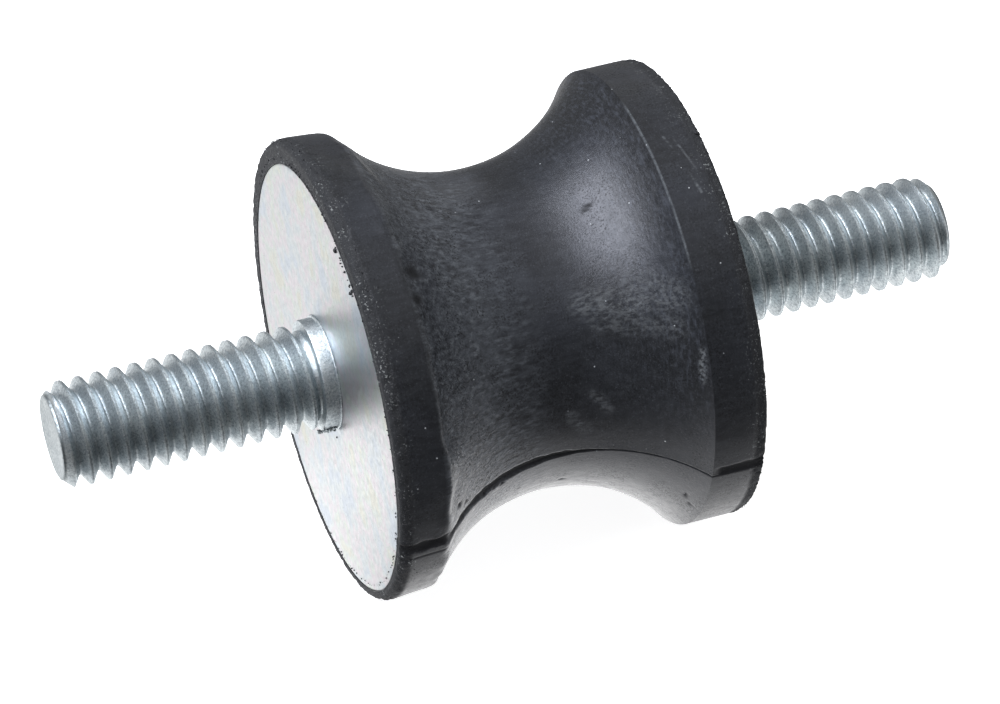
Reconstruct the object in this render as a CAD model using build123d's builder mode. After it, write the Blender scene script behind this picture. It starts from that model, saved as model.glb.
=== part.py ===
from build123d import *
import os

# Bobbin vibration mount: a waisted rubber body with a steel plate and a threaded stud at each end.
# Millimetres. It lies on its side: +X runs along its axis, +Z is up, and the origin is the body's centre.

# Rubber body
body_diameter = 34.9  # over the two bands
body_length = 28.0  # from one end face to the other
waist_diameter = 24.6  # at the narrowest section
band_width = 3.8  # flat band between an end face and the waist
rim_bevel = 0.45  # trimmed edge between a band and its end face
ring_width = 1.3  # rubber round each end plate

# Parting line, where the two halves of the mould met
parting_angle = 10.5  # degrees, turned about the axis from level
flash_height = 0.15  # how far the thin ridge of rubber stands proud
flash_thickness = 0.3

# End plates
plate_thickness = 2.5

# Studs, with a 5/16-18 UNC thread that is drawn plain at its outer diameter
thread_diameter = 7.9
stud_length = 20.8  # from the end face to the tip
tip_diameter = 6.2  # flat end, at the root of the thread
shoulder_diameter = 8.3  # plain shoulder, pressed through the plate
shoulder_length = 1.2  # what stands out of the plate
head_diameter = 14.0
head_thickness = 1.6

# Fits: the rubber is moulded on to the steel, and the stud is pressed into its plate
rubber_fit = 0.0
press_fit = 0.0

face_x = body_length / 2
crease_x = face_x - band_width
band_radius = body_diameter / 2
waist_radius = waist_diameter / 2
plate_radius = band_radius - ring_width
head_radius = head_diameter / 2
tip_bevel = (thread_diameter - tip_diameter) / 2


def end_face(sign):
    """Plane of one end face, which looks out of the body."""
    return Plane(origin=(sign * face_x, 0, 0), x_dir=(0, 1, 0), z_dir=(sign, 0, 0))


def back_of_plate(sign):
    """Plane on which the stud's head sits, behind the end plate."""
    return end_face(sign).offset(-plate_thickness)


def waisted_section(plane, growth=0.0):
    """Half-section of the body, filled down to its axis, with its outside moved out by the growth."""
    band = band_radius + growth
    with BuildSketch(plane) as outline:
        with BuildLine():
            Polyline((-crease_x, band), (-face_x, band), (-face_x, 0), (face_x, 0), (face_x, band), (crease_x, band))
            ThreePointArc((crease_x, band), (0, waist_radius + growth), (-crease_x, band))
        make_face()
        for x in (-face_x, face_x):
            rim = outline.vertices().sort_by_distance(plane.from_local_coords((x, band)))[0]
            chamfer(rim, rim_bevel)
    return outline.sketch


# One moulding, with the ridge of flash along both sides, and the pockets that the plates and heads fill
with BuildPart() as rubber_body:
    revolve(waisted_section(Plane.XY), axis=Axis.X)
    for turn in (parting_angle, parting_angle + 180):
        flash_plane = Plane.XY.rotated((turn, 0, 0))
        extrude(waisted_section(flash_plane, flash_height), amount=flash_thickness / 2, both=True)
    for sign in (-1, 1):
        with BuildSketch(end_face(sign)):
            Circle(plate_radius + rubber_fit)
        extrude(amount=-plate_thickness - rubber_fit, mode=Mode.SUBTRACT)
        with BuildSketch(back_of_plate(sign)):
            Circle(head_radius + rubber_fit)
        extrude(amount=-head_thickness - rubber_fit, mode=Mode.SUBTRACT)

os.makedirs("parts", exist_ok=True)
rubber_body.part.label = "rubber_body"
export_step(rubber_body.part, "parts/rubber_body.step")

for side, sign in (("left", -1), ("right", 1)):
    # The plate is a disc with a hole that the stud's shoulder fills
    with BuildPart() as end_plate:
        with BuildSketch(end_face(sign)):
            Circle(plate_radius)
            Circle(shoulder_diameter / 2 + press_fit, mode=Mode.SUBTRACT)
        extrude(amount=-plate_thickness)

    # The stud's head sits inside, against the plate, and its shoulder and shank come out through the hole
    with BuildPart() as stud:
        with BuildSketch(back_of_plate(sign)):
            Circle(head_radius)
        extrude(amount=-head_thickness)
        with BuildSketch(back_of_plate(sign)):
            Circle(shoulder_diameter / 2)
        extrude(amount=plate_thickness + shoulder_length)
        with BuildSketch(end_face(sign)):
            Circle(thread_diameter / 2)
        extrude(amount=stud_length)
        tip = stud.edges().group_by(Axis.X)[0 if sign < 0 else -1]
        chamfer(tip, tip_bevel)

    end_plate.part.label = f"{side}_plate"
    export_step(end_plate.part, f"parts/{side}_plate.step")
    stud.part.label = f"{side}_stud"
    export_step(stud.part, f"parts/{side}_stud.step")
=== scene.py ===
# %% [markdown]
# # A bobbin vibration mount
# A waisted rubber body carries a steel plate and a threaded stud at each end. The rubber is the
# spring. It lies on its side on a white table, as in a catalogue picture.
# The CAD model comes first, because every piece below sits on its solids. It is in metres here, with
# +X along the axis, +Z up and the origin at the middle of the body.

# %% The fixed frame
import math

import bmesh
import bpy
import numpy as np
from mathutils import Matrix, Vector, noise


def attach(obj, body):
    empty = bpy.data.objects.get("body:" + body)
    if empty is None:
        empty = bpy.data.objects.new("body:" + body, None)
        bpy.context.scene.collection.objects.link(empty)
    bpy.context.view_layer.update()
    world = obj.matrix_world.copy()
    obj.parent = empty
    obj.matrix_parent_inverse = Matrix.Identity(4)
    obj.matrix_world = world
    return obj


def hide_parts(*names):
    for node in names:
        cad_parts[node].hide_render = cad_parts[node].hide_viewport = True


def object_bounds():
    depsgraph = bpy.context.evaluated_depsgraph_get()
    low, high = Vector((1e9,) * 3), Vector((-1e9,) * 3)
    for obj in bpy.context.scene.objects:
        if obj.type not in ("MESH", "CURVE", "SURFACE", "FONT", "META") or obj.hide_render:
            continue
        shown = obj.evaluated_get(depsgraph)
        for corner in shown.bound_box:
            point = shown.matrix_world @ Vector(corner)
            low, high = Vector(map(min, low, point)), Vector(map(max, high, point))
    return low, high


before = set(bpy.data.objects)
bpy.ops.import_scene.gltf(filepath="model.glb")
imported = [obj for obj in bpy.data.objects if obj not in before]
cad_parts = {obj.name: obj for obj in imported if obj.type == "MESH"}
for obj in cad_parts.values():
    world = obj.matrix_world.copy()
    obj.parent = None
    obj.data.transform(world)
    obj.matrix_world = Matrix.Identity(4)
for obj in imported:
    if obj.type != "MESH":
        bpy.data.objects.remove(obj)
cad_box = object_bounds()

MM = 0.001
print("CAD nodes:", sorted(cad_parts))
print("CAD box in mm:", [[round(c / MM, 2) for c in corner] for corner in cad_box])

# %% [markdown]
# The camera stands where the photographer's did: level, 20 degrees to the left of square and 42
# degrees up, with a long lens. The lens and the distance came from fitting the outline of the body.
# One function puts every object of this lesson in the scene. A camera or lamp also gets the direction
# that its back looks in.

# %% Camera
AZIMUTH, ELEVATION = math.radians(-20.05), math.radians(41.9)
FOCAL_PIXELS = 4820
DISTANCE = 357.3 * MM
PICTURE_WIDTH = 1000
BODY_OFF_CENTRE = (3.3, 23.6)  # where the body's centre lies, in pixels right of and above the middle


def new_object(name, data, location=(0, 0, 0), back=None):
    """An object with this data, in the scene."""
    made = bpy.data.objects.new(name, data)
    bpy.context.scene.collection.objects.link(made)
    made.location = location
    if back is not None:
        made.rotation_mode = "QUATERNION"
        made.rotation_quaternion = back.to_track_quat("Z", "Y")
    return made


camera_back = Vector((
    math.sin(AZIMUTH) * math.cos(ELEVATION),
    -math.cos(AZIMUTH) * math.cos(ELEVATION),
    math.sin(ELEVATION),
))
camera_right = Vector((math.cos(AZIMUTH), math.sin(AZIMUTH), 0))
camera_up = camera_back.cross(camera_right)
metres_per_pixel = DISTANCE / FOCAL_PIXELS

camera_data = bpy.data.cameras.new("camera")
camera_data.sensor_width = 36
camera_data.lens = FOCAL_PIXELS / PICTURE_WIDTH * camera_data.sensor_width
camera_at = (
    camera_back * DISTANCE
    - camera_right * BODY_OFF_CENTRE[0] * metres_per_pixel
    - camera_up * BODY_OFF_CENTRE[1] * metres_per_pixel
)
camera = new_object("camera", camera_data, camera_at, camera_back)
bpy.context.scene.camera = camera
print("camera at", [round(c, 4) for c in camera.location], "lens", round(camera_data.lens, 1))

# %% [markdown]
# Every material and every Geometry Nodes tree below is built with one function. It adds a node, sets
# its properties, fills its sockets with values or with links from other nodes, and gives back one of
# its outputs for the next node to use.
# Colours are written as they look on a screen, in sRGB, and one function turns them to linear light.
# Patterns are sized by the millimetres that one of their features covers.
# Long rows of sums are written as a worksheet. Each line names a value, says how it is made, and gives
# what it is made from: a value named before, or a number. RAMP goes from 0 at its first number to 1 at
# its second, or between two more numbers if they are given. NOISE is an uneven pattern on the given
# coordinates, with the size of a feature in mm, its detail, and how strongly the detail shows.

# %% Nodes, colours and sizes
def add_node(tree, kind, inputs=(), out=0, **settings):
    """Adds a node, of a shader's kind unless its kind says Node. A list or dictionary fills its inputs."""
    node = tree.nodes.new(kind if "Node" in kind else "ShaderNode" + kind)
    for name, value in settings.items():
        setattr(node, name, value)
    for key, value in inputs.items() if isinstance(inputs, dict) else enumerate(inputs):
        if isinstance(value, bpy.types.NodeSocket):
            tree.links.new(value, node.inputs[key])
        else:
            node.inputs[key].default_value = value
    return node.outputs[out] if node.outputs else None


def colour(hex_code):
    """An sRGB hex colour as linear red, green, blue and alpha."""
    channels = [int(hex_code[i:i + 2], 16) / 255 for i in (1, 3, 5)]
    linear = [c / 12.92 if c <= 0.04045 else ((c + 0.055) / 1.055) ** 2.4 for c in channels]
    return (*linear, 1)


def features(size_mm):
    """Texture scale at which one feature of a pattern is that many millimetres across."""
    return 1 / (size_mm * MM)


def fill_in(tree, value, worksheet):
    """Works down a worksheet, and keeps each result under its name."""
    for name, operation, *parts in worksheet:
        inputs = [value[part] if isinstance(part, str) else part for part in parts]
        if operation == "RAMP":
            value[name] = add_node(tree, "MapRange", inputs)
        elif operation == "NOISE":
            sockets = dict(zip(("Vector", "Scale", "Detail", "Roughness"), inputs))
            sockets["Scale"] = features(sockets["Scale"])
            value[name] = add_node(tree, "TexNoise", sockets)
        else:
            value[name] = add_node(tree, "Math", inputs, operation=operation)


def covered(tree, value, base, layers):
    """A colour under some finishes. Each is laid on by a named share, and covers the ones before it."""
    for name, finish in layers:
        finish = colour(finish) if isinstance(finish, str) else finish
        sockets = {0: value[name], 6: base, 7: finish}
        base = add_node(tree, "Mix", sockets, 2, data_type="RGBA")
    return base


def new_material(name):
    """A material, its tree, and the Object coordinates in it."""
    material = bpy.data.materials.new(name)
    material.use_nodes = True
    tree = material.node_tree
    tree.nodes.clear()
    return material, tree, add_node(tree, "TexCoord", out="Object")


print("mid grey in linear light:", [round(c, 3) for c in colour("#808080")])

# %% [markdown]
# The object lies on a wide white sheet. The camera and shiny surfaces see the sheet glow a little, so
# that it comes out white, while the body's soft contact shadow still shows on it. The glow doesn't
# light the object, because only camera, glossy and transmission rays see it. What shiny surfaces see is
# graded in steps from the front to the back of the sheet: the dark of the room where it ends in front,
# a bright pool under the object, and a slow fall beyond it. It also falls off a little to the left and
# to the right of the body. The dark end draws the grey bands along the studs, and the pool draws the
# pale lower edge of the rubber.

# %% Floor
FLOOR_Z = cad_box[0].z
FLOOR_RADIUS, FLOOR_CORNERS = 3.0, 64
AWAY = Vector((0, 0, 1)).cross(camera_right)  # level, from the camera towards the object and past it
POOL_GLOW, SHEET_GLOW = 2.6, 0.88
SHEEN_STEPS = [  # a direction, from and to in mm along it, and the share of the pool's glow at each
    (AWAY, -34, 1, 0.06, 1.0),
    (AWAY, 0, 8, 1.0, 0.78),
    (AWAY, 32, 75, 1.0, 0.12),
    (camera_right, -16, -10, 0.74, 1.0),
    (camera_right, 9, 16, 1.0, 0.68),
]

floor_mesh = bpy.data.meshes.new("floor")
turns = np.linspace(0, math.tau, FLOOR_CORNERS, endpoint=False)
corners = [(math.cos(a) * FLOOR_RADIUS, math.sin(a) * FLOOR_RADIUS, FLOOR_Z) for a in turns]
floor_mesh.from_pydata(corners, [], [list(range(FLOOR_CORNERS))])
floor = new_object("floor", floor_mesh)

paper, tree, place = new_material("white paper sheet")
ray = add_node(tree, "LightPath").node.outputs
pool = POOL_GLOW
for direction, start, end, low, high in SHEEN_STEPS:
    both = [place, tuple(direction)]
    ahead = add_node(tree, "VectorMath", both, "Value", operation="DOT_PRODUCT")
    edges = [ahead, start * MM, end * MM, low, high]
    step = add_node(tree, "MapRange", edges, interpolation_type="SMOOTHSTEP")
    pool = add_node(tree, "Math", [pool, step], operation="MULTIPLY")
mirrored = add_node(tree, "Emission", [colour("#ffffff"), pool])
camera_glow = add_node(tree, "Math", [ray["Is Camera Ray"], SHEET_GLOW], operation="MULTIPLY")
glow = add_node(tree, "Emission", [colour("#ffffff"), camera_glow])
paper_white = add_node(tree, "BsdfDiffuse", [colour("#f2f2f2")])
seen = add_node(tree, "AddShader", [glow, paper_white])
shiny = [ray["Is Glossy Ray"], ray["Is Transmission Ray"]]
by_shiny = add_node(tree, "Math", shiny, operation="MAXIMUM")
surface = add_node(tree, "MixShader", [by_shiny, seen, mirrored])
add_node(tree, "OutputMaterial", [surface])
floor_mesh.materials.append(paper)
print("floor at", round(FLOOR_Z / MM, 2), "mm")

# %% [markdown]
# A large soft lamp above the left end is the main light. It makes the pale patch on the waist and the
# bright line along each crest of the thread. A weaker one behind the right end draws a pale edge. The
# room is dim in front and lighter behind, overhead and to the right. The upper side of the studs and of
# the waist reflects the pale ceiling.

# %% Lamps and world
def soft_lamp(name, toward, distance, length, width, power, tint="#ffffff"):
    """An oblong area lamp, in the given direction from the object, that faces it."""
    data = bpy.data.lights.new(name, "AREA")
    data.shape, data.size, data.size_y = "RECTANGLE", length, width
    data.energy, data.color = power, colour(tint)[:3]
    direction = Vector(toward).normalized()
    new_object(name, data, direction * distance, direction)


soft_lamp("key lamp", (-0.58, 0.15, 0.80), 0.55, 0.60, 0.34, 5.5, "#f5f8ff")
soft_lamp("back lamp", (0.49, 0.85, 0.30), 0.70, 0.30, 0.30, 0.15)

world = bpy.data.worlds.new("studio")
bpy.context.scene.world = world
world.use_nodes = True
tree = world.node_tree
tree.nodes.clear()
toward = add_node(tree, "TexCoord", out="Generated")
behind = add_node(tree, "VectorMath", [toward, tuple(AWAY)], "Value", operation="DOT_PRODUCT")
axes = add_node(tree, "SeparateXYZ", [toward]).node.outputs
room = 0.0
WALLS = [  # a direction, how far along it each pale wall begins and is whole, and its strength there
    (behind, -0.7, 0.5, 0.12, 0.18),
    (axes["Z"], 0.45, 0.90, 0.0, 0.50),
    (axes["X"], 0.45, 0.95, 0.0, 0.32),
]
for edges in WALLS:
    wall = add_node(tree, "MapRange", edges, interpolation_type="SMOOTHSTEP")
    room = add_node(tree, "Math", [room, wall], operation="ADD")
seen = add_node(tree, "LightPath", out="Is Camera Ray")
strength = add_node(tree, "Math", [seen, room], operation="MAXIMUM")
background = add_node(tree, "Background", [colour("#ffffff"), strength])
add_node(tree, "OutputWorld", [background])
bpy.context.scene.view_settings.view_transform = "Standard"

# %% [markdown]
# Almost everything on this object was turned or moulded round one axis. A lathe function takes a
# profile, as distances along the axis and radii, and carries it round. Either list may also be a table
# with a column for each angle, so a profile can change a little on its way round. A radius of 0 at an
# end closes it with one point.

# %% Lathe
def lathe(name, along, radii, angles, closed=False):
    """A mesh turned round the X axis from a profile in mm. Travel it with the outside on the left."""
    rows, turns = len(along), len(angles)
    along, radii = (np.broadcast_to(np.reshape(t, (rows, -1)), (rows, turns)) for t in (along, radii))
    points = np.stack([along, radii * np.cos(angles), radii * np.sin(angles)], axis=-1) * MM
    first = 0 if closed or radii[0].any() else 1
    last = rows if closed or radii[-1].any() else rows - 1
    verts = points[first:last].reshape(-1, 3)
    faces = []
    span = last - first
    for i in range(span if closed else span - 1):
        a, b = i * turns, (i + 1) % span * turns
        faces += [(a + j, a + (j + 1) % turns, b + (j + 1) % turns, b + j) for j in range(turns)]
    if first == 1:
        verts = np.vstack([verts, points[0, 0]])
        faces += [(len(verts) - 1, (j + 1) % turns, j) for j in range(turns)]
    if last == rows - 1:
        verts = np.vstack([verts, points[-1, 0]])
        ring = (span - 1) * turns
        faces += [(len(verts) - 1, ring + j, ring + (j + 1) % turns) for j in range(turns)]
    mesh = bpy.data.meshes.new(name)
    mesh.from_pydata(verts.tolist(), [], faces)
    return mesh


def place_piece(mesh, name, slot, sharp_degrees, *nodes):
    """A finished piece: smooth but for its sharp edges, riding on the body in place of its CAD nodes."""
    mesh.shade_smooth()
    mesh.set_sharp_from_angle(angle=math.radians(sharp_degrees))
    piece = new_object(name, mesh)
    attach(piece, "root")
    if nodes:
        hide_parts(*nodes)
    mesh.calc_loop_triangles()
    size = [round(d / MM, 2) for d in piece.dimensions]
    print(name, "is", size, "mm with", len(mesh.loop_triangles), "triangles")
    return piece


def one_mesh(name, meshes, material):
    """One mesh made of several, in one material."""
    parts = bmesh.new()
    for mesh in meshes:
        parts.from_mesh(mesh)
    together = bpy.data.meshes.new(name)
    parts.to_mesh(together)
    parts.free()
    together.materials.append(material)
    return together


def stretch(start, end, count):
    """Evenly spaced steps from start up to, but not at, the end."""
    return np.linspace(start, end, count, endpoint=False)


# %% [markdown]
# **The rubber body.** Natural rubber is pressed hot into a two-part mould, round the two steel plates,
# and bonds to them as it cures. The waist lets it bend and shear easily. The form is one profile turned
# round the axis: a ring round the plate, a trimmed corner, a flat band, a crease, and one arc. The right
# crease is sharp, and the left one a little rounded.
# A mesh turned from that profile, dense enough to carry its own small flaws, shows them from any side.

# %% Body profile
FACE_X = 14.0
PLATE_RADIUS = 16.2
PLATE_THICKNESS = 2.5
PLATE_OFFSET = 0.45  # how far the rim is off the centre of the hole
LAP, LIP_PROUD = 0.08, 0.03  # the rubber laps a little over the plate
BAND_RADIUS = 17.42
LEFT_BAND_END = 17.25  # the left band tapers a little towards the waist
WAIST_RADIUS, WAIST_X = 12.28, -0.16
LEFT_CREASE_X, RIGHT_CREASE_X = -10.3, 9.9
LEFT_RIM, RIGHT_RIM = 16.95, 17.2  # radii at which the trimmed corners begin on the end faces
LEFT_BAND_X, RIGHT_BAND_X = -13.2, 13.75  # where they end on the bands
POCKET_STEP = 0.6  # depth behind the end face at which the last row of a pocket's wall lies
WAIST_ROWS = 90


def arc_through(start, middle, end, count):
    """Points along the circle through three points, without the last."""
    a, b, c = complex(*start), complex(*middle), complex(*end)
    ratio = (c - a) / (b - a)
    centre = a + (b - a) * (ratio - abs(ratio) ** 2) / (2j * ratio.imag)
    first, last = (np.angle(point - centre) % math.tau for point in (a, c))
    points = centre + abs(a - centre) * np.exp(1j * stretch(first, last, count))
    return points.real, points.imag


def corner(x0, r0, x1, r1, count, face_first):
    """A quarter of an ellipse between an end face and a band."""
    t = stretch(0, math.pi / 2, count)
    if face_first:
        return x1 + (x0 - x1) * np.cos(t), r0 + (r1 - r0) * np.sin(t)
    return x0 + (x1 - x0) * np.sin(t), r1 + (r0 - r1) * np.cos(t)


def eased(start, corner_point, end, count):
    """Points along a curve that rounds a corner off, without the last."""
    t = stretch(0, 1, count)
    weights = (1 - t) ** 2, 2 * t * (1 - t), t**2
    points = (start, corner_point, end)
    return [sum(weight * point[axis] for weight, point in zip(weights, points)) for axis in (0, 1)]


POCKET_ROWS = 3
POCKET_X = FACE_X - PLATE_THICKNESS
LIP_X = FACE_X + LIP_PROUD
left_crease, right_crease = (LEFT_CREASE_X, LEFT_BAND_END), (RIGHT_CREASE_X, BAND_RADIUS)
waist_x, waist_r = arc_through(left_crease, (WAIST_X, WAIST_RADIUS), right_crease, WAIST_ROWS)
EASED_ROWS, EASED_LENGTH = 2, 0.5  # what the soft left crease takes up of the waist and of the band
before_crease = (LEFT_CREASE_X - EASED_LENGTH, LEFT_BAND_END)
after_crease = (waist_x[EASED_ROWS], waist_r[EASED_ROWS])
sections = [
    ([-POCKET_X, -POCKET_X, POCKET_STEP - FACE_X], [0, PLATE_RADIUS, PLATE_RADIUS]),
    (np.full(10, -LIP_X), stretch(PLATE_RADIUS - LAP, LEFT_RIM, 10)),
    corner(-LIP_X, LEFT_RIM, LEFT_BAND_X, BAND_RADIUS, 9, True),
    (stretch(LEFT_BAND_X, before_crease[0], 15), stretch(BAND_RADIUS, LEFT_BAND_END, 15)),
    eased(before_crease, left_crease, after_crease, 8),
    (waist_x[EASED_ROWS:], waist_r[EASED_ROWS:]),
    (stretch(RIGHT_CREASE_X, RIGHT_BAND_X, 20), np.full(20, BAND_RADIUS)),
    corner(RIGHT_BAND_X, BAND_RADIUS, LIP_X, RIGHT_RIM, 6, False),
    (np.full(11, LIP_X), stretch(RIGHT_RIM, PLATE_RADIUS - LAP, 11)),
    ([FACE_X - POCKET_STEP, POCKET_X, POCKET_X], [PLATE_RADIUS, PLATE_RADIUS, 0]),
]
body_x = np.concatenate([section[0] for section in sections])
body_r = np.concatenate([section[1] for section in sections])
print(len(body_x), "rows, narrowest radius", round(float(body_r[4:-4].min()), 2), "mm")

# %% [markdown]
# The two halves of the mould met in a plane through the axis, 10.5 degrees off level. Rubber that was
# squeezed between them left a ridge along both sides. Above the line the surface swells outward by a
# sixth of a millimetre and then drops over a hard edge. On the waist a groove follows the edge, wide at
# the left end and as fine as a hair at the right, and on both bands there is a deeper, ragged fold. The
# angles are crowded there, so that the edge is real geometry. A "crevice" value goes with the groove,
# the folds and the dents, and darkens them with dust and painted shade.

# %% Parting lines
PARTING = [math.radians(10.5), math.radians(190.5)]
SWELL_HEIGHT, SWELL_WIDTH, SWELL_REACH = 0.17, 1.3, 4.0
GROOVE_WIDTH, GROOVE_DEPTH = (0.18, 0.74), (0.12, 0.16)  # at the right end, and how much more at the left
FOLD_AT, FOLD_DEPTH = 0.42, 0.2  # of the ragged fold on the bands, above the edge
SECOND_AT, SECOND_WIDTH, SECOND_DEPTH = 0.85, 0.12, 0.06  # of a fine line below it, on the left band
COARSE_STEPS = 480
FINE_STEP = math.radians(0.16)
FINE_REACH = 24
# the crevice value paints the folds and dents darker, as dust and painted shade
CREVICE_SHARE = 0.95  # how dark a fold or a dent is, next to the groove

angles = list(stretch(0, math.tau, COARSE_STEPS))
for line in PARTING:
    angles = [a for a in angles if abs(a - line) > FINE_REACH * FINE_STEP]
    angles += [line + k * FINE_STEP for k in range(-FINE_REACH, FINE_REACH + 1)]
angles = np.array(sorted(angles))


def smooth_step(t):
    """0 below 0, 1 above 1, and an easy curve between."""
    t = np.clip(t, 0, 1)
    return t * t * (3 - 2 * t)


def ragged(x, per_mm, seed):
    """An uneven line along the axis, between about -1 and 1."""
    return np.array([noise.noise(Vector((value * per_mm, seed, 0))) * 2 for value in x])[:, None]


def parting_relief(x, r, angles):
    """How far the surface stands out near the parting lines, in mm, and how much of it is crevice."""
    relief = np.zeros((len(x), len(angles)))
    crevice = np.zeros_like(relief)
    waist = smooth_step((10.7 - abs(x)) / 0.8)[:, None]
    left_end = smooth_step((4.5 - x) / 9)[:, None]
    to_face = smooth_step((abs(x) - 10) / 4)[:, None]
    for seed, line in enumerate(PARTING):
        arc = (angles - line)[None, :] * r[:, None]
        above = (arc <= 0) * (arc > -SWELL_REACH)
        relief += above * SWELL_HEIGHT * np.exp(arc / (SWELL_WIDTH / 2)) * (1 - 0.5 * waist)
        width = (GROOVE_WIDTH[0] + GROOVE_WIDTH[1] * left_end) * (1 + 0.22 * ragged(x, 1.3, seed))
        groove = np.exp(-(((arc + 0.12 * width) / (width / 2)) ** 4)) * waist
        relief -= groove * (GROOVE_DEPTH[0] + GROOVE_DEPTH[1] * left_end)
        half_fold = (0.40 + 0.12 * to_face) * (1 + 0.3 * ragged(x, 1.1, seed + 10))
        fold = np.exp(-(((arc + FOLD_AT) / half_fold) ** 4)) * (1 - waist)
        relief -= fold * FOLD_DEPTH
        second = np.exp(-(((arc - SECOND_AT) / SECOND_WIDTH) ** 2)) * (1 - waist) * (x < 0)[:, None] * 0.6
        relief -= second * SECOND_DEPTH
        crevice = np.maximum.reduce([crevice, groove, CREVICE_SHARE * fold, second])
    return relief, crevice


relief, crevice = parting_relief(body_x, body_r, angles)
print("groove up to", round(float(-relief.min()), 2), "mm deep, with", len(angles), "angles")

# %% [markdown]
# Where the flash was trimmed off, at both rims, the corner is torn and uneven. A "trimmed" value marks it
# for the material. The skin has a few dents: two chips on the left crease, pits in the pale patch, and
# specks that were moulded in under the parting line. They are listed by their place along the axis and
# round it.

# %% Body surface
DENTS = [  # along the axis, degrees round it, length, width and depth in mm
    (-9.5, 117.5, 0.55, 0.6, 0.12),
    (-9.9, 125.0, 0.4, 0.5, 0.10),
    (5.3, 104.5, 0.3, 0.17, 0.10),
    (5.0, 105.5, 0.2, 0.15, 0.08),
    (-5.7, 91.5, 0.3, 0.2, 0.08),
    (-9.1, 183.3, 0.2, 0.22, 0.14),
    (-8.4, 185.2, 0.12, 0.14, 0.10),
    (-6.4, 192.2, 0.15, 0.16, 0.12),
    (-5.4, 192.4, 0.12, 0.12, 0.10),
    (-4.7, 192.9, 0.15, 0.13, 0.12),
    (-2.9, 204.0, 0.12, 0.1, 0.08),
    (0.7, 210.0, 0.18, 0.14, 0.10),
    (8.9, 205.0, 0.14, 0.35, 0.08),
    (9.3, 208.5, 0.12, 0.2, 0.08),
]
SHOWN_ROUND = math.radians(226)  # the way in which the rim is off centre
OFFSET_FADE = 0.7  # width in which the ring of rubber takes up that offset
CREASE_REACH = 1.1  # how far the left crease's unevenness reaches along the axis
HAIR = 0.01  # clearance to the CAD box

trimmed = np.clip((body_r - PLATE_RADIUS + LAP) / 0.1, 0, 1) * np.clip((abs(body_x) - 13.0) / 0.35, 0, 1)
outer = np.ones(len(body_x), bool)
outer[:POCKET_ROWS] = outer[-POCKET_ROWS:] = False
relief[~outer] = 0
crevice[~outer] = 0
rim_round = {-1: np.cos(angles - SHOWN_ROUND), 1: np.cos(angles + SHOWN_ROUND - math.pi)}
body_radii = body_r[:, None] + relief
body_along = np.repeat(body_x[:, None], len(angles), axis=1)
for i, (x, r) in enumerate(zip(body_x, body_r)):
    at_rim = abs(x) > POCKET_X - 0.1 and PLATE_RADIUS - 0.2 < r < 17
    if at_rim:
        share = 1 if not outer[i] else np.clip((LEFT_RIM - r) / OFFSET_FADE, 0, 1)
        body_radii[i] += rim_round[math.copysign(1, x)] * PLATE_OFFSET * share
    if not outer[i]:
        continue
    near_crease = math.exp(-((x - LEFT_CREASE_X) / CREASE_REACH) ** 2)
    for j, angle in enumerate(angles):
        spot = Vector((x, r * math.cos(angle), r * math.sin(angle)))
        rough = noise.noise(spot * 1.6) * 0.5 + noise.noise(spot * 3.7) * 0.5
        body_radii[i, j] += trimmed[i] * (rough * 0.16 - 0.05) + noise.noise(spot * 0.22) * 0.04 - 0.02
        if near_crease > 0.01:
            body_along[i, j] += near_crease * 0.35 * noise.noise(spot * 0.45)
            body_radii[i, j] += near_crease * 0.08 * noise.noise(spot * 0.8)
        if trimmed[i] > 0:
            inward = 0.5 + 0.5 * noise.noise(spot * 2.3 + Vector((0, 0, 40)))
            body_along[i, j] -= math.copysign(trimmed[i] * inward * 0.08, x)
for x, degrees, length, width, depth in DENTS:
    away = (body_x[:, None] - x) / length
    round_away = (angles - math.radians(degrees))[None, :] * body_r[:, None] / width
    dent = np.exp(-(away**2 + round_away**2) ** 2) * outer[:, None]
    body_radii -= depth * dent
    # each dent is also painted darker, as dust and painted shade
    crevice = np.maximum(crevice, CREVICE_SHARE * dent)
half_box = cad_box[1].z / MM - HAIR
body_radii = np.minimum(body_radii, half_box / np.maximum(abs(np.cos(angles)), abs(np.sin(angles))))

body_mesh = lathe("rubber body", body_along, body_radii, angles)
for name, table in (("trimmed", np.repeat(trimmed[:, None], len(angles), axis=1)), ("crevice", crevice)):
    values = np.zeros(len(body_mesh.vertices), np.float32)
    values[:table[1:-1].size] = table[1:-1].ravel()
    body_mesh.attributes.new(name, "FLOAT", "POINT").data.foreach_set("value", values)
rubber_body = place_piece(body_mesh, "rubber_body_skin", "black_rubber", 42, "rubber_body")

# %% [markdown]
# ** Moulded natural rubber.** Carbon black makes it almost black, but the skin that cured against the
# steel mould is smooth and has a low, slightly greasy gloss. So it reflects the lamp as a broad, pale
# patch, and the table as a grey sheen where it is seen at a shallow angle. The skin isn't even: a faint
# bluish bloom lies on it in clouds, laid on the upper side only, where it is a painted sheen. Its flow
# into the mould left wrinkles along the axis at the left end of the waist, where the paler mottle and
# lines are partly painted sheen too. The mould's own turning marks show at the right end, and handling
# left scuffs, scratches and dust. The corners were trimmed after moulding, and there the torn rubber is
# matt, with pale grit.
# Each mark has a place, so its mask is made from the distance to a line between two points.

# %% Marks on the rubber
def mark(tree, place, start, end, width, soft):
    """1 within a width in mm of the line between two points, also given in mm, and 0 further off."""
    first, last = Vector(start) * MM, Vector(end) * MM
    run = last - first
    from_first = add_node(tree, "VectorMath", [place, tuple(first)], operation="SUBTRACT")
    both = [from_first, tuple(run / run.length_squared)]
    along = add_node(tree, "VectorMath", both, "Value", operation="DOT_PRODUCT")
    share = add_node(tree, "Clamp", [along])
    nearest = add_node(tree, "VectorMath", {0: tuple(run), "Scale": share}, operation="SCALE")
    distance = add_node(tree, "VectorMath", [from_first, nearest], "Value", operation="DISTANCE")
    edges = [distance, width * (1 - soft) * MM, width * MM, 1.0, 0.0]
    return add_node(tree, "MapRange", edges, interpolation_type="SMOOTHSTEP")


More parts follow.
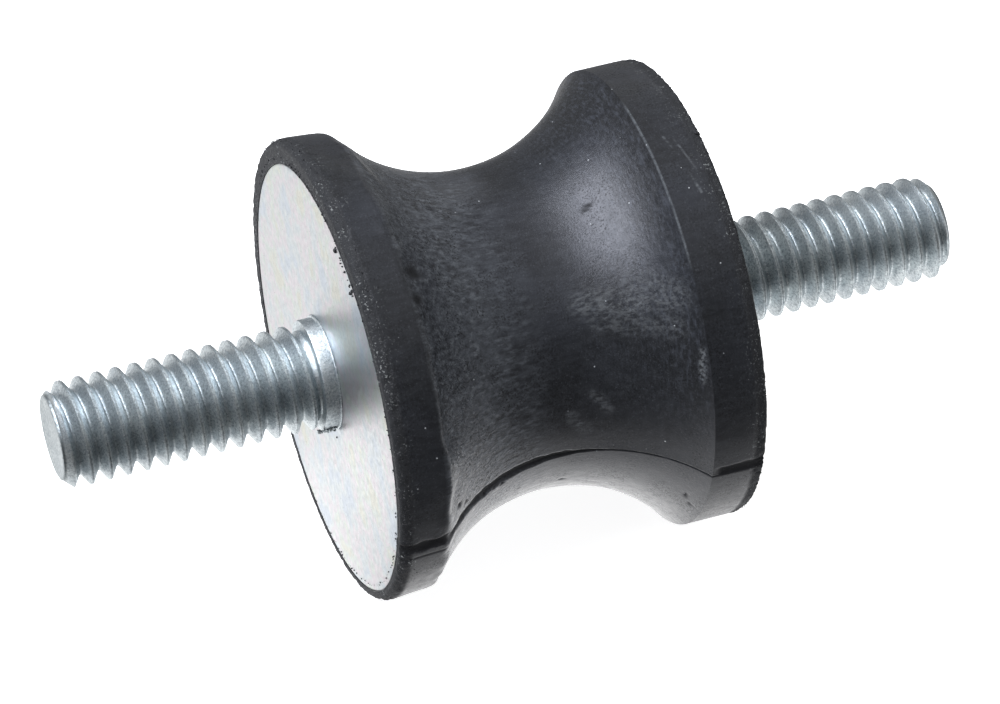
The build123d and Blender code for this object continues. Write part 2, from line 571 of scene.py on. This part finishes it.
SCUFFS = [  # start, end and width in mm, and how strong
    ((6.4, -10.1, 10.5), (8.3, -12.0, 10.5), 2.2, 0.42),
    ((2.9, -8.9, 9.1), (6.4, -10.7, 9.5), 1.7, 0.5),
    ((3.6, -9.9, 7.9), (8.6, -13.1, 8.5), 1.3, 0.3),
    ((2.6, -12.2, 3.0), (3.4, -12.6, 1.8), 0.7, 0.35),
    ((0.7, -12.2, 1.4), (1.8, -12.4, 0.2), 0.8, 0.3),
    ((9.5, -15.3, 7.7), (9.5, -15.8, 5.4), 0.5, 0.75),
    ((-9.9, 1.5, 16.9), (-9.9, -6.0, 15.8), 0.9, 0.5),
    ((11.3, -2.6, 17.2), (12.3, -7.6, 15.7), 0.17, 0.75),
    ((11.9, -3.0, 17.2), (12.7, -6.4, 16.3), 0.13, 0.45),
]
# A pale line along the upper part of the right crease: partly wear, and partly a painted highlight on its
# edge.
CREASE_MARK = ((9.8, -1.0, 17.3), (9.8, -9.6, 14.5), 3.5, 0.6)
print(len(SCUFFS), "scuffs")

# %% Rubber patterns
rubber, tree, place = new_material("moulded natural rubber")
along, _, height = add_node(tree, "SeparateXYZ", [place]).node.outputs
cells = add_node(tree, "TexVoronoi", {"Vector": place, "Scale": features(0.55)}).node.outputs
value = {
    "place": place, "x": along, "z": height,
    "drawn out": add_node(tree, "Mapping", {"Vector": place, "Scale": (0.35, 1, 1)}),
    "carried round": add_node(tree, "Mapping", {"Vector": place, "Scale": (1, 0.2, 0.2)}),
    "cut": add_node(tree, "Attribute", out="Fac", attribute_name="trimmed"),
    "crevice": add_node(tree, "Attribute", out="Fac", attribute_name="crevice"),
    "crease here": mark(tree, place, *CREASE_MARK),
    "cell lot": add_node(tree, "SeparateColor", [cells["Color"]]),
    "off cell": cells["Distance"],
    "scuff": 0.0,
}
for start, end, width, strength in SCUFFS:
    here = mark(tree, place, start, end, width, 0.8)
    here = add_node(tree, "Math", [here, strength], operation="MULTIPLY")
    value["scuff"] = add_node(tree, "Math", [value["scuff"], here], operation="MAXIMUM")

PATTERNS = [
    ("clouds", "NOISE", "place", 5.5, 3, 0.5),
    ("clusters", "NOISE", "place", 2.2, 2, 0.6),
    ("mottle", "NOISE", "drawn out", 0.45, 4, 0.7),
    ("wrinkles", "NOISE", "drawn out", 0.32, 3, 0.6),
    ("wear", "NOISE", "drawn out", 0.3, 3, 0.7),
    ("tool marks", "NOISE", "carried round", 0.16, 1, 0.6),  # left in the mould by turning
    ("grain", "NOISE", "place", 0.15, 2, 0.7),  # the mould's blasted finish, a little coarser than real
    ("grit", "NOISE", "place", 0.17, 1, 0.5),
    ("clouded", "RAMP", "clouds", 0.38, 0.64),
    ("turning", "RAMP", "tool marks", 0.48, 0.70),
    ("light mottle", "RAMP", "mottle", 0.32, 0.78),
    ("fine lines", "RAMP", "wrinkles", 0.50, 0.70),
    ("dark grain", "RAMP", "grain", 0.53, 0.64),
    ("pale grain", "RAMP", "grain", 0.40, 0.28),
    ("worn through", "RAMP", "wear", 0.44, 0.62),
    ("crease breaks", "RAMP", "wear", 0.25, 0.70),
    ("grit here", "RAMP", "grit", 0.63, 0.71),
    ("grit cluster", "RAMP", "clusters", 0.44, 0.62),
    ("pitted here", "RAMP", "clusters", 0.62, 0.40),
]
fill_in(tree, value, PATTERNS)
print(len(PATTERNS), "patterns and their shares")

# %% [markdown]
# The shares are then limited to the places that they belong to: the left end of the waist, its right
# end, the upper side, the marks, the crease, and the rims. The heights and the roughness of the skin
# come from the same values.

# %% Places on the rubber
PLACES = [
    ("from middle", "ABSOLUTE", "x"),
    ("onto waist", "RAMP", "x", -10.6 * MM, -10.0 * MM),
    ("off middle", "RAMP", "x", 0.0, -6.0 * MM),
    ("left waist", "MULTIPLY", "onto waist", "off middle"),
    ("right part", "RAMP", "x", 1.5 * MM, 8.5 * MM, 0.1, 0.7),
    ("up to crease", "RAMP", "x", 9.6 * MM, 9.9 * MM, 1.0, 0.2),
    ("right waist", "MULTIPLY", "right part", "up to crease"),
    ("upper side", "RAMP", "z", -1.0 * MM, 10.0 * MM, 0.05, 1.0),
    ("near rim", "RAMP", "from middle", 12.0 * MM, 13.9 * MM),
    ("from crease", "SUBTRACT", "x", RIGHT_CREASE_X * MM),
    ("off crease", "ABSOLUTE", "from crease"),
    ("crease line", "RAMP", "off crease", 0.11 * MM, 0.03 * MM),
    ("crease mark", "MULTIPLY", "crease here", "crease breaks"),
    ("picked", "RAMP", "cell lot", 0.955, 0.965),
    ("speck", "RAMP", "off cell", 0.13, 0.07),
    # on the left waist the paler mottle and lines are partly real wrinkles and partly painted sheen
    ("lines and sheen place", "MAXIMUM", "left waist", "scuff"),
    ("mottle and sheen place", "RAMP", "left waist", 0, 1, 0.12, 1.0),
    ("turned place", "MULTIPLY", "right waist", "upper side"),
    ("grit place", "MULTIPLY", "near rim", "grit cluster"),
    # the bloom's clouds, kept to the upper side: a painted bluish sheen where the lamp and ceiling light
    # fall
    ("bloom and sheen", "MULTIPLY", "clouded", "upper side"),
    ("turned", "MULTIPLY", "turning", "turned place"),
    ("mottled", "MULTIPLY", "light mottle", "mottle and sheen place"),
    ("lined", "MULTIPLY", "fine lines", "lines and sheen place"),
    ("worn", "MULTIPLY", "worn through", "scuff"),
    ("crease highlight and wear", "MULTIPLY", "crease line", "crease mark"),
    ("gritty", "MULTIPLY", "grit here", "grit place"),
    ("dusty", "MULTIPLY", "speck", "picked"),
    ("grained", "MULTIPLY", "dark grain", "pitted here"),
    ("pale", "MULTIPLY", "pale grain", 0.3),
    ("skin roughness", "RAMP", "mottle", 0.35, 0.65, 0.29, 0.41),
    ("wrinkled", "RAMP", "left waist", 0, 1, 0.06, 0.9),
    ("wrinkle height", "MULTIPLY", "wrinkles", "wrinkled"),
    ("tool height", "MULTIPLY", "tool marks", "right waist"),
    ("coarseness", "RAMP", "cut", 0, 1, 1.0, 5.0),
    ("grain height", "MULTIPLY", "grain", "coarseness"),
]
fill_in(tree, value, PLACES)
print("rubber nodes so far:", len(tree.nodes))

# %% Rubber material
torn = covered(tree, value, colour("#1a1b1c"), [("pale grain", "#4a4b4b")])
SKIN_LAYERS = [
    ("bloom and sheen", "#212328"), ("turned", "#363940"), ("mottled", "#55595f"), ("lined", "#5b5f64"),
    # the crease's pale line is partly wear and partly a painted highlight
    ("grained", "#0a0b0c"), ("pale", "#55585d"), ("worn", "#5d6062"), ("crease highlight and wear", "#5a5e62"),
    # crevice: dust and painted shade in the groove, the folds and the dents
    ("dusty", "#a2a5a8"), ("cut", torn), ("gritty", "#808382"), ("crevice", "#0b0b0c"),
]
ROUGH_PLACES = [("cut", 0.8), ("crevice", 0.8), ("worn", 0.75), ("grained", 0.56)]
BUMPS = [  # heights in mm
    ("wrinkle height", 0.08), ("mottle", 0.014), ("tool height", 0.012), ("grain height", 0.012),
]
roughness = value["skin roughness"]
for name, rough in ROUGH_PLACES:
    roughness = add_node(tree, "Mix", {0: value[name], 2: roughness, 3: rough})
bump = add_node(tree, "NewGeometry", out="Normal")
for name, distance in BUMPS:
    sockets = {"Height": value[name], "Strength": 1.0, "Distance": distance * MM, "Normal": bump}
    bump = add_node(tree, "Bump", sockets)
finish = {
    "Base Color": covered(tree, value, colour("#17181a"), SKIN_LAYERS), "Roughness": roughness,
    "IOR": 1.52, "Specular Tint": colour("#f4f6ff"), "Normal": bump,
}
add_node(tree, "OutputMaterial", [add_node(tree, "BsdfPrincipled", finish)])
rubber_body.data.materials.append(rubber)
print("rubber nodes:", len(tree.nodes))

# %% [markdown]
# **The end plates.** Each is a disc stamped from steel sheet, 2.5 mm thick, with a hole for the stud.
# Stamping rolls the edge of the hole and of the rim, and the rim is a little off the hole's centre. They
# are turned here like the body.

# %% End plates
SHOULDER_RADIUS = 4.15
HOLE_ROLL, RIM_ROLL = 0.25, 0.35
HOLE_DEPTH, RIM_DEPTH = 0.12, 0.21  # how far the rolled edges drop
PLATE_ANGLES = 240
plate_angles = stretch(0, math.tau, PLATE_ANGLES)
roll = stretch(0, math.pi / 2, 5)
plate_x = np.concatenate([
    -FACE_X + HOLE_DEPTH * (1 - np.sin(roll)),
    np.full(12, -FACE_X),
    -FACE_X + RIM_DEPTH * (1 - np.cos(roll)),
    [-FACE_X + RIM_DEPTH, -FACE_X + PLATE_THICKNESS, -FACE_X + PLATE_THICKNESS],
])
plate_r = np.concatenate([
    SHOULDER_RADIUS + HOLE_ROLL * (1 - np.cos(roll)),
    stretch(SHOULDER_RADIUS + HOLE_ROLL, PLATE_RADIUS - RIM_ROLL, 12),
    PLATE_RADIUS - RIM_ROLL + RIM_ROLL * np.sin(roll),
    [PLATE_RADIUS, PLATE_RADIUS, SHOULDER_RADIUS],
])
off_centre = np.clip((plate_r - SHOULDER_RADIUS - 1) / 8, 0, 1)[:, None] * PLATE_OFFSET
plate_radii = plate_r[:, None] + off_centre * np.cos(plate_angles - SHOWN_ROUND)

end_plates = []
for side, turn in (("left", 0), ("right", math.pi)):
    mesh = lathe(f"{side} plate", plate_x, plate_radii, plate_angles, closed=True)
    mesh.transform(Matrix.Rotation(turn, 4, "Z"))
    end_plates.append(place_piece(mesh, f"{side}_end_plate", "zinc_plate", 30, f"{side}_plate"))

# %% [markdown]
# **Zinc-plated steel, plate.** The zinc is thin and bright but the rolled sheet under it is a little
# rough, so the plate mirrors the white table as an even, silky white. The clear passivation on the zinc
# gives faint blue, pink and yellow patches. Small dark specks are pits and dust.

# %% Plate material
PASSIVATION = [  # where each tint lies along the pattern
    (0.36, "#aeb5be"), (0.45, "#b6bbbc"), (0.52, "#bfb7bc"), (0.59, "#b6bdb9"), (0.66, "#bab9af"),
]
plated, tree, place = new_material("zinc-plated rolled steel")
value = {"place": place}
fill_in(tree, value, [
    ("patches", "NOISE", "place", 3.2, 3, 0.6),
    ("frost", "NOISE", "place", 0.5, 3, 0.7),
    ("grain", "NOISE", "place", 0.2, 2, 0.7),
    ("frosted", "RAMP", "frost", 0.35, 0.7, 0.0, 0.3),
    ("pitted", "RAMP", "grain", 0.66, 0.72),
    ("roughness", "RAMP", "frost", 0.3, 0.7, 0.34, 0.50),
])
tint = add_node(tree, "ValToRGB", [value["patches"]])
stops = tint.node.color_ramp.elements
for position, code in PASSIVATION:
    stops.new(position).color = colour(code)
stops.remove(stops[-1])  # the white and the black that every ramp comes with
stops.remove(stops[0])


def finish_zinc(tree, value, base, uneven, strength, height):
    """Ends a zinc-plated material, with the named value as its relief, up to a height in mm."""
    bump = {"Height": value[uneven], "Strength": strength, "Distance": height * MM}
    bump = add_node(tree, "Bump", bump)
    finish = {"Base Color": base, "Metallic": 1.0, "Roughness": value["roughness"], "Normal": bump}
    add_node(tree, "OutputMaterial", [add_node(tree, "BsdfPrincipled", finish)])


base = covered(tree, value, tint, [("frosted", "#9aa1a5"), ("pitted", "#5f6466")])
finish_zinc(tree, value, base, "frost", 0.5, 0.02)
for plate in end_plates:
    plate.data.materials.append(plated)
print("plate nodes:", len(tree.nodes))

# %% [markdown]
# **Zinc-plated rolled thread.** The same zinc, but on metal that was squeezed between dies. It is a
# little darker and bluer than the plate, and grainy, so each flank sparkles. The cut end of the stud is
# duller.

# %% Stud material
TIP_X = FACE_X + 20.78
threaded_steel, tree, place = new_material("zinc-plated cold-rolled steel")
value = {"place": place, "x": add_node(tree, "SeparateXYZ", [place], "X")}
fill_in(tree, value, [
    ("patches", "NOISE", "place", 2.5, 2, 0.6),
    ("frost", "NOISE", "place", 0.2, 2, 0.75),
    ("grain", "NOISE", "place", 0.13, 2, 0.8),
    ("from middle", "ABSOLUTE", "x"),
    ("cut end", "RAMP", "from middle", (TIP_X - 0.3) * MM, (TIP_X - 0.15) * MM, 0.0, 0.65),
    ("patchy", "RAMP", "patches", 0.35, 0.65),
    ("frosted", "RAMP", "frost", 0.45, 0.62, 0.0, 0.7),
    ("sparkling", "RAMP", "grain", 0.55, 0.68, 0.0, 0.8),
    ("roughness", "RAMP", "frost", 0.3, 0.7, 0.32, 0.54),
])
STUD_LAYERS = [
    ("patchy", "#cfd6d8"), ("frosted", "#818b92"), ("sparkling", "#eaeded"), ("cut end", "#6f777a"),
]
base = covered(tree, value, colour("#b4bdc2"), STUD_LAYERS)
finish_zinc(tree, value, base, "grain", 1.0, 0.022)
print("stud nodes:", len(tree.nodes))

# %% [markdown]
# **The studs.** Each stud is a cold-headed blank with a flat head behind the plate, a plain shoulder
# that fills the hole, and a shank. Where the shoulder was pressed in, it raised a small bead round the
# hole. The thread is rolled on to the shank, which pushes metal up into the crests from both sides, and
# often leaves a fine seam along each crest. The blank is turned on the lathe first. Its open end is
# where the thread begins.

# %% Stud blanks
THREAD_STEPS = 120
HEAD_RADIUS, HEAD_THICKNESS = 7.0, 1.6
SHOULDER_END = FACE_X + 1.2
RUN_OUT_RADIUS = 3.35
BEAD = 0.17
back_x = FACE_X - PLATE_THICKNESS
blank_profile = [
    (back_x - HEAD_THICKNESS, 0), (back_x - HEAD_THICKNESS, HEAD_RADIUS), (back_x, HEAD_RADIUS),
    (back_x, SHOULDER_RADIUS), (FACE_X - 0.05, SHOULDER_RADIUS),
    (FACE_X - 0.02, SHOULDER_RADIUS + 0.8 * BEAD), (FACE_X + 0.05, SHOULDER_RADIUS + BEAD),
    (FACE_X + 0.12, SHOULDER_RADIUS + 0.7 * BEAD), (FACE_X + BEAD, SHOULDER_RADIUS),
    (SHOULDER_END - 0.16, SHOULDER_RADIUS),
    (SHOULDER_END - 0.05, SHOULDER_RADIUS - 0.05), (SHOULDER_END, SHOULDER_RADIUS - 0.18),
    (SHOULDER_END, RUN_OUT_RADIUS),
]
TIP_RADIUS = 3.1
THREAD_END = TIP_X - 0.14
tip_profile = [
    (THREAD_END, TIP_RADIUS + 0.12), (TIP_X - 0.05, TIP_RADIUS + 0.06), (TIP_X - 0.01, TIP_RADIUS - 0.04),
    (TIP_X, TIP_RADIUS - 0.16), (TIP_X - 0.03, TIP_RADIUS - 0.45), (TIP_X - 0.09, TIP_RADIUS - 1.1),
    (TIP_X - 0.12, TIP_RADIUS - 2.2), (TIP_X - 0.12, 0),
]
thread_angles = stretch(0, math.tau, THREAD_STEPS)
blank = [lathe("blank", *zip(*profile), thread_angles) for profile in (blank_profile, tip_profile)]
blank_mesh = one_mesh("stud blank", blank, threaded_steel)
print("blank:", len(blank_mesh.vertices), "points")

# %% [markdown]
# **The rolled thread.** It is 5/16 inch with 18 turns to the inch: one turn every 1.411 mm. A thread is
# one short profile repeated along a helix, so Geometry Nodes makes it from a flat grid. Across the grid,
# 20 columns make one turn's profile: crest, flank, rounded root and flank. Along it, the rows go once
# round the stud and move on by one pitch. So the crest's edges follow the grid's own lines and stay
# crisp. Rows that would pass an end are pressed flat against it, which closes the tip and joins the
# blank. Two helpers start a tree and run it, because the crumbs further down need them as well.

# %% Tree helpers
def node_group(name, sockets):
    """An empty Geometry Nodes tree with named inputs, which gives back geometry."""
    group = bpy.data.node_groups.new(name, "GeometryNodeTree")
    group.interface.new_socket("Geometry", in_out="OUTPUT", socket_type="NodeSocketGeometry")
    for socket_name, kind in sockets.items():
        group.interface.new_socket(socket_name, in_out="INPUT", socket_type=f"NodeSocket{kind}")
    return group, {socket.name: socket for socket in group.nodes.new("NodeGroupInput").outputs}


def run_tree(mesh, group, values):
    """The mesh that the tree makes from this one, with the given values for its named inputs."""
    worker = new_object("worker", mesh)
    modifier = worker.modifiers.new("tree", "NODES")
    modifier.node_group = group
    for item in group.interface.items_tree:
        if item.in_out == "INPUT" and item.name in values:
            modifier[item.identifier] = values[item.name]
    evaluated = worker.evaluated_get(bpy.context.evaluated_depsgraph_get())
    made = bpy.data.meshes.new_from_object(evaluated)
    bpy.data.objects.remove(worker)
    return made


# %% [markdown]
# The sums behind the thread are worksheets too. The first finds where a point of the grid comes to lie
# along the stud, and the second how far it is from the axis. They also use the inputs of the tree.

# %% Thread worksheet
COLUMNS = 20
COLUMN_STARTS = [0, 8, 12, 16, 20]  # where the crest, the first flank, the root and the last flank begin
CREST, FLANK, ROOT = 0.20, 0.30, 0.20  # shares of one pitch
ROOT_DIP = 0.13  # share of the depth that the root's curve takes
NUDGE = 0.0001  # keeps a column on its own turn
NOISE_RADIUS = 0.004
PITCH = 25.4 / 18
THREAD_SIZES = {  # in mm
    "Pitch": PITCH, "Crest Radius": 3.95, "Depth": 0.86, "Start": SHOULDER_END, "End": THREAD_END,
    "Tip Radius": tip_profile[0][1], "Run-out": 0.55, "Run-out Radius": RUN_OUT_RADIUS,
    "Seam": 0.045, "Wear": 0.035,
}
starts = [start / COLUMNS for start in COLUMN_STARTS]

PLACE_ALONG = [
    ("from edge", "MULTIPLY_ADD", "Turns", 0.5, "grid x"),
    ("column", "ADD", "from edge", NUDGE),
    ("turn", "FLOOR", "column"),
    ("part of turn", "FRACT", "column"),
    ("across", "SUBTRACT", "part of turn", NUDGE),
    ("on crest", "RAMP", "across", starts[0], starts[1]),
    ("falling", "RAMP", "across", starts[1], starts[2]),
    ("on root", "RAMP", "across", starts[2], starts[3]),
    ("rising", "RAMP", "across", starts[3], starts[4]),
    ("past crest", "MULTIPLY_ADD", "on crest", CREST, -CREST / 2),
    ("past flank", "MULTIPLY_ADD", "falling", FLANK, "past crest"),
    ("past root", "MULTIPLY_ADD", "on root", ROOT, "past flank"),
    ("profile x", "MULTIPLY_ADD", "rising", FLANK, "past root"),
    ("round", "ADD", "grid y", 0.5),
    ("turns before", "SUBTRACT", "turn", 2.0),
    ("whole turns", "ADD", "profile x", "turns before"),
    ("turns along", "ADD", "whole turns", "round"),
    ("free x", "MULTIPLY_ADD", "Pitch", "turns along", "Crest At"),
    ("x from start", "MAXIMUM", "free x", "Start"),
    ("x", "MINIMUM", "x from start", "End"),
    ("angle", "MULTIPLY", "round", math.tau),
    ("cosine", "COSINE", "angle"),
    ("sine", "SINE", "angle"),
    ("noise y", "MULTIPLY", "cosine", NOISE_RADIUS),
    ("noise z", "MULTIPLY", "sine", NOISE_RADIUS),
]
RADIUS_THERE = [
    ("down", "SUBTRACT", "falling", "rising"),
    ("straight fall", "MULTIPLY", "down", 1 - ROOT_DIP),
    ("root angle", "MULTIPLY", "on root", math.pi),
    ("dip", "SINE", "root angle"),
    ("fall", "MULTIPLY_ADD", "dip", ROOT_DIP, "straight fall"),
    ("drop", "MULTIPLY", "fall", "Depth"),
    ("plain radius", "SUBTRACT", "Crest Radius", "drop"),
    ("crest angle", "MULTIPLY", "on crest", math.tau),
    ("crest wave", "COSINE", "crest angle"),
    ("crest folds", "ABSOLUTE", "crest wave"),
    ("fold", "POWER", "crest folds", 8.0),
    ("on top", "SUBTRACT", 1.0, "fall"),
    ("top fold", "MULTIPLY", "fold", "on top"),
    ("seam drop", "MULTIPLY", "top fold", "Seam"),
    ("folded radius", "SUBTRACT", "plain radius", "seam drop"),
    ("worn", "SUBTRACT", "noise", 0.5),
    ("worn radius", "MULTIPLY_ADD", "worn", "Wear", "folded radius"),
    ("to end", "SUBTRACT", "End", "x"),
    ("bevel", "ADD", "to end", "Tip Radius"),
    ("bevelled", "MINIMUM", "worn radius", "bevel"),
    ("run-out end", "ADD", "Start", "Run-out"),
    ("threaded", "RAMP", "x", "Start", "run-out end"),
    ("over run-out", "SUBTRACT", "bevelled", "Run-out Radius"),
    ("run-out done", "MULTIPLY_ADD", "threaded", "over run-out", "Run-out Radius"),
    ("tip length", "MULTIPLY", "Run-out", 0.25),
    ("begun", "RAMP", "to end", 0.0, "tip length"),
    ("over tip", "SUBTRACT", "run-out done", "Tip Radius"),
    ("radius", "MULTIPLY_ADD", "begun", "over tip", "Tip Radius"),
    ("y", "MULTIPLY", "radius", "cosine"),
    ("z", "MULTIPLY", "radius", "sine"),
]
print(len(PLACE_ALONG) + len(RADIUS_THERE), "sums for each point")

# %% Thread tree
thread, value = node_group("rolled thread", {
    "Geometry": "Geometry", **dict.fromkeys(THREAD_SIZES, "Float"), "Crest At": "Float",
    "Turns": "Int", "Rows": "Int", "Material": "Material",
})
fill_in(thread, value, [
    ("grid width", "MULTIPLY", "Turns", 1.0),
    ("lines across", "MULTIPLY_ADD", "Turns", float(COLUMNS), 1.0),
    ("lines round", "ADD", "Rows", 1.0),
])
grid = add_node(thread, "GeometryNodeMeshGrid", {
    "Size X": value["grid width"], "Size Y": 1.0,
    "Vertices X": value["lines across"], "Vertices Y": value["lines round"],
})
grid_place = add_node(thread, "SeparateXYZ", [add_node(thread, "GeometryNodeInputPosition")])
value["grid x"], value["grid y"], _ = grid_place.node.outputs
fill_in(thread, value, PLACE_ALONG)
around = add_node(thread, "CombineXYZ", [value["x"], value["noise y"], value["noise z"]])
uneven = {"Vector": around, "Scale": features(1.1), "Detail": 3.0}
value["noise"] = add_node(thread, "TexNoise", uneven)
fill_in(thread, value, RADIUS_THERE)

position = add_node(thread, "CombineXYZ", [value[axis] for axis in "xyz"])
moved = add_node(thread, "GeometryNodeSetPosition", {"Geometry": grid, "Position": position})
outward = add_node(thread, "GeometryNodeFlipFaces", [moved])
joined = add_node(thread, "GeometryNodeJoinGeometry", [value["Geometry"]])
thread.links.new(outward, joined.node.inputs[0])
merged = add_node(thread, "GeometryNodeMergeByDistance", {"Geometry": joined, "Distance": 0.002 * MM})
real = add_node(thread, "GeometryNodeRealizeInstances", [merged])
coated = add_node(thread, "GeometryNodeSetMaterial", {"Geometry": real, "Material": value["Material"]})
add_node(thread, "NodeGroupOutput", [coated])
print("thread tree:", len(thread.nodes), "nodes")

# %% [markdown]
# **Crumbs.** Trimming tears small crumbs out of the rubber, and they cling to both rims and to the edge
# of the plate. The stud has a burr of its own, where metal curled up under its shoulder. Both are
# scattered by Geometry Nodes: points in a ring, between two angles, each with a small ball of its own
# size that noise then makes uneven. The seed is fixed.

# %% Crumb tree
DEGREE = math.radians(1)
RING_INPUTS = {  # in the order of the numbers that describe a ring, with the unit of each
    "Count": 1, "At X": MM, "Length": MM, "Radius": MM, "Ring Width": MM, "From Angle": DEGREE,
    "To Angle": DEGREE, "Smallest": MM, "Largest": MM, "Fineness": 1,
}
kinds = {name: "Int" if unit == 1 else "Float" for name, unit in RING_INPUTS.items()}
crumbs, given = node_group("crumbs in a ring", kinds | {"Seed": "Int", "Material": "Material"})
LOTS = {  # the lowest and highest of each number that is drawn for a crumb
    "angle": (given["From Angle"], given["To Angle"]), "outward": (-0.5, 0.5), "share": (0.0, 1.0),
    **{f"turn {axis}": (0.0, math.tau) for axis in "xyz"}, "forward": (-0.5, 0.5),
}
lot = dict(given)
for number, (name, (low, high)) in enumerate(LOTS.items()):
    seed = add_node(crumbs, "Math", [given["Seed"], float(number)], operation="ADD")
    drawn = {2: low, 3: high, "Seed": seed}
    lot[name] = add_node(crumbs, "FunctionNodeRandomValue", drawn, 1, data_type="FLOAT")
MOSTLY_SMALL = 2.5
fill_in(crumbs, lot, [
    ("radius", "MULTIPLY_ADD", "outward", "Ring Width", "Radius"),
    ("x", "MULTIPLY_ADD", "forward", "Length", "At X"),
    ("cosine", "COSINE", "angle"),
    ("sine", "SINE", "angle"),
    ("y", "MULTIPLY", "radius", "cosine"),
    ("z", "MULTIPLY", "radius", "sine"),
    ("size share", "POWER", "share", MOSTLY_SMALL),
    ("size range", "SUBTRACT", "Largest", "Smallest"),
    ("size", "MULTIPLY_ADD", "size share", "size range", "Smallest"),
])
position = add_node(crumbs, "CombineXYZ", [lot[axis] for axis in "xyz"])
spots = add_node(crumbs, "GeometryNodePoints", {"Count": given["Count"], "Position": position})
ball = {"Radius": 1.0, "Subdivisions": given["Fineness"]}
ball = add_node(crumbs, "GeometryNodeMeshIcoSphere", ball)
turned = add_node(crumbs, "CombineXYZ", [lot[f"turn {axis}"] for axis in "xyz"])
CRUMB_SHAPE, CRUMB_BULGE = (1.3, 1.0, 0.6), 0.12  # how flat, and how uneven in mm
flattened = {0: CRUMB_SHAPE, "Scale": lot["size"]}
flattened = add_node(crumbs, "VectorMath", flattened, operation="SCALE")
scattered = {"Points": spots, "Instance": ball, "Rotation": turned, "Scale": flattened}
scattered = add_node(crumbs, "GeometryNodeInstanceOnPoints", scattered)
real = add_node(crumbs, "GeometryNodeRealizeInstances", [scattered])
bulge = {"Scale": features(CRUMB_BULGE), "Detail": 1.0}
bulge = add_node(crumbs, "TexNoise", bulge, "Color")
centred = add_node(crumbs, "VectorMath", [bulge, (0.5, 0.5, 0.5)], operation="SUBTRACT")
centred = {0: centred, "Scale": CRUMB_BULGE * MM}
offset = add_node(crumbs, "VectorMath", centred, operation="SCALE")
uneven = add_node(crumbs, "GeometryNodeSetPosition", {"Geometry": real, "Offset": offset})
coated = add_node(crumbs, "GeometryNodeSetMaterial", {"Geometry": uneven, "Material": given["Material"]})
add_node(crumbs, "NodeGroupOutput", [coated])


def crumb_ring(material, seed, *ring):
    """The mesh of one ring of crumbs, described in mm and degrees."""
    values = {name: number * unit for (name, unit), number in zip(RING_INPUTS.items(), ring)}
    values |= {"Seed": seed, "Material": material}
    return run_tree(bpy.data.meshes.new("nothing"), crumbs, values)


print("crumb tree:", len(crumbs.nodes), "nodes")

# %% [markdown]
# The left stud is made pointing along +X, like the right one, and then turned half round, which keeps
# the thread right-handed. Each stud's helix is started where a crest shows in the picture. The burr is
# on the left stud only, under its shoulder.

# %% Studs
TOP_ANGLE = math.atan2(0.6992, 0.6678)  # of the stud's upper outline, as the camera sees it
LEFT_CREST_X, RIGHT_CREST_X = -26.33, 27.35  # a crest on the upper outline of each stud
BURR = (46, -14.95, 1.3, 4.22, 0.12, 217, 227, 0.08, 0.2, 2)

crest_starts = {
    "left": -LEFT_CREST_X - PITCH * (math.pi - TOP_ANGLE) / math.tau,
    "right": RIGHT_CREST_X - PITCH * TOP_ANGLE / math.tau,
}
for side, turn in (("left", math.pi), ("right", 0)):
    crest_at = SHOULDER_END + (crest_starts[side] - SHOULDER_END) % PITCH
    sizes = {name: size * MM for name, size in {**THREAD_SIZES, "Crest At": crest_at}.items()}
    sizes |= {"Turns": 18, "Rows": THREAD_STEPS, "Material": threaded_steel}
    stud = run_tree(blank_mesh.copy(), thread, sizes)
    stud.transform(Matrix.Rotation(turn, 4, "Z"))
    if side == "left":
        stud = one_mesh("left stud", [stud, crumb_ring(threaded_steel, 7, *BURR)], threaded_steel)
    place_piece(stud, f"{side}_threaded_stud", "zinc_stud", 28, f"{side}_stud")

# %% Crumbs
CRUMB_RINGS = [  # how many, along the axis, over what length, radius, ring width, degrees, sizes, fineness
    (420, 13.86, 0.0, 17.22, 0.14, 0, 360, 0.03, 0.13, 1),
    (700, 13.80, 0.3, 17.28, 0.14, 0, 360, 0.02, 0.06, 1),
    (170, -13.85, 0.0, 16.95, 0.30, 0, 360, 0.03, 0.09, 1),
    (500, -13.2, 1.3, 17.34, 0.06, 30, 250, 0.02, 0.06, 1),
    (260, -14.0, 0.0, 16.1, 0.2, 0, 360, 0.02, 0.09, 1),
    (18, -14.03, 0.0, 15.45, 0.5, 103, 120, 0.05, 0.18, 2),
    (70, -14.02, 0.0, 15.85, 0.25, 60, 104, 0.03, 0.08, 1),
    (1, 13.8, 0.0, 17.2, 0.0, 99.4, 99.4, 0.28, 0.28, 2),
    (1, -14.0, 0.0, 5.0, 0.0, 237.6, 237.6, 0.1, 0.1, 2),
]
rings = [crumb_ring(rubber, 10 * seed, *ring) for seed, ring in enumerate(CRUMB_RINGS)]
crumb_mesh = one_mesh("rubber crumbs", rings, rubber)
places = np.empty(len(crumb_mesh.vertices) * 3, np.float32)
crumb_mesh.vertices.foreach_get("co", places)
crumb_mesh.vertices.foreach_set("co", np.clip(places, -half_box * MM, half_box * MM))
torn_all_over = np.ones(len(crumb_mesh.vertices), np.float32)
crumb_mesh.attributes.new("trimmed", "FLOAT", "POINT").data.foreach_set("value", torn_all_over)
place_piece(crumb_mesh, "trimming_crumbs", "black_rubber", 60)
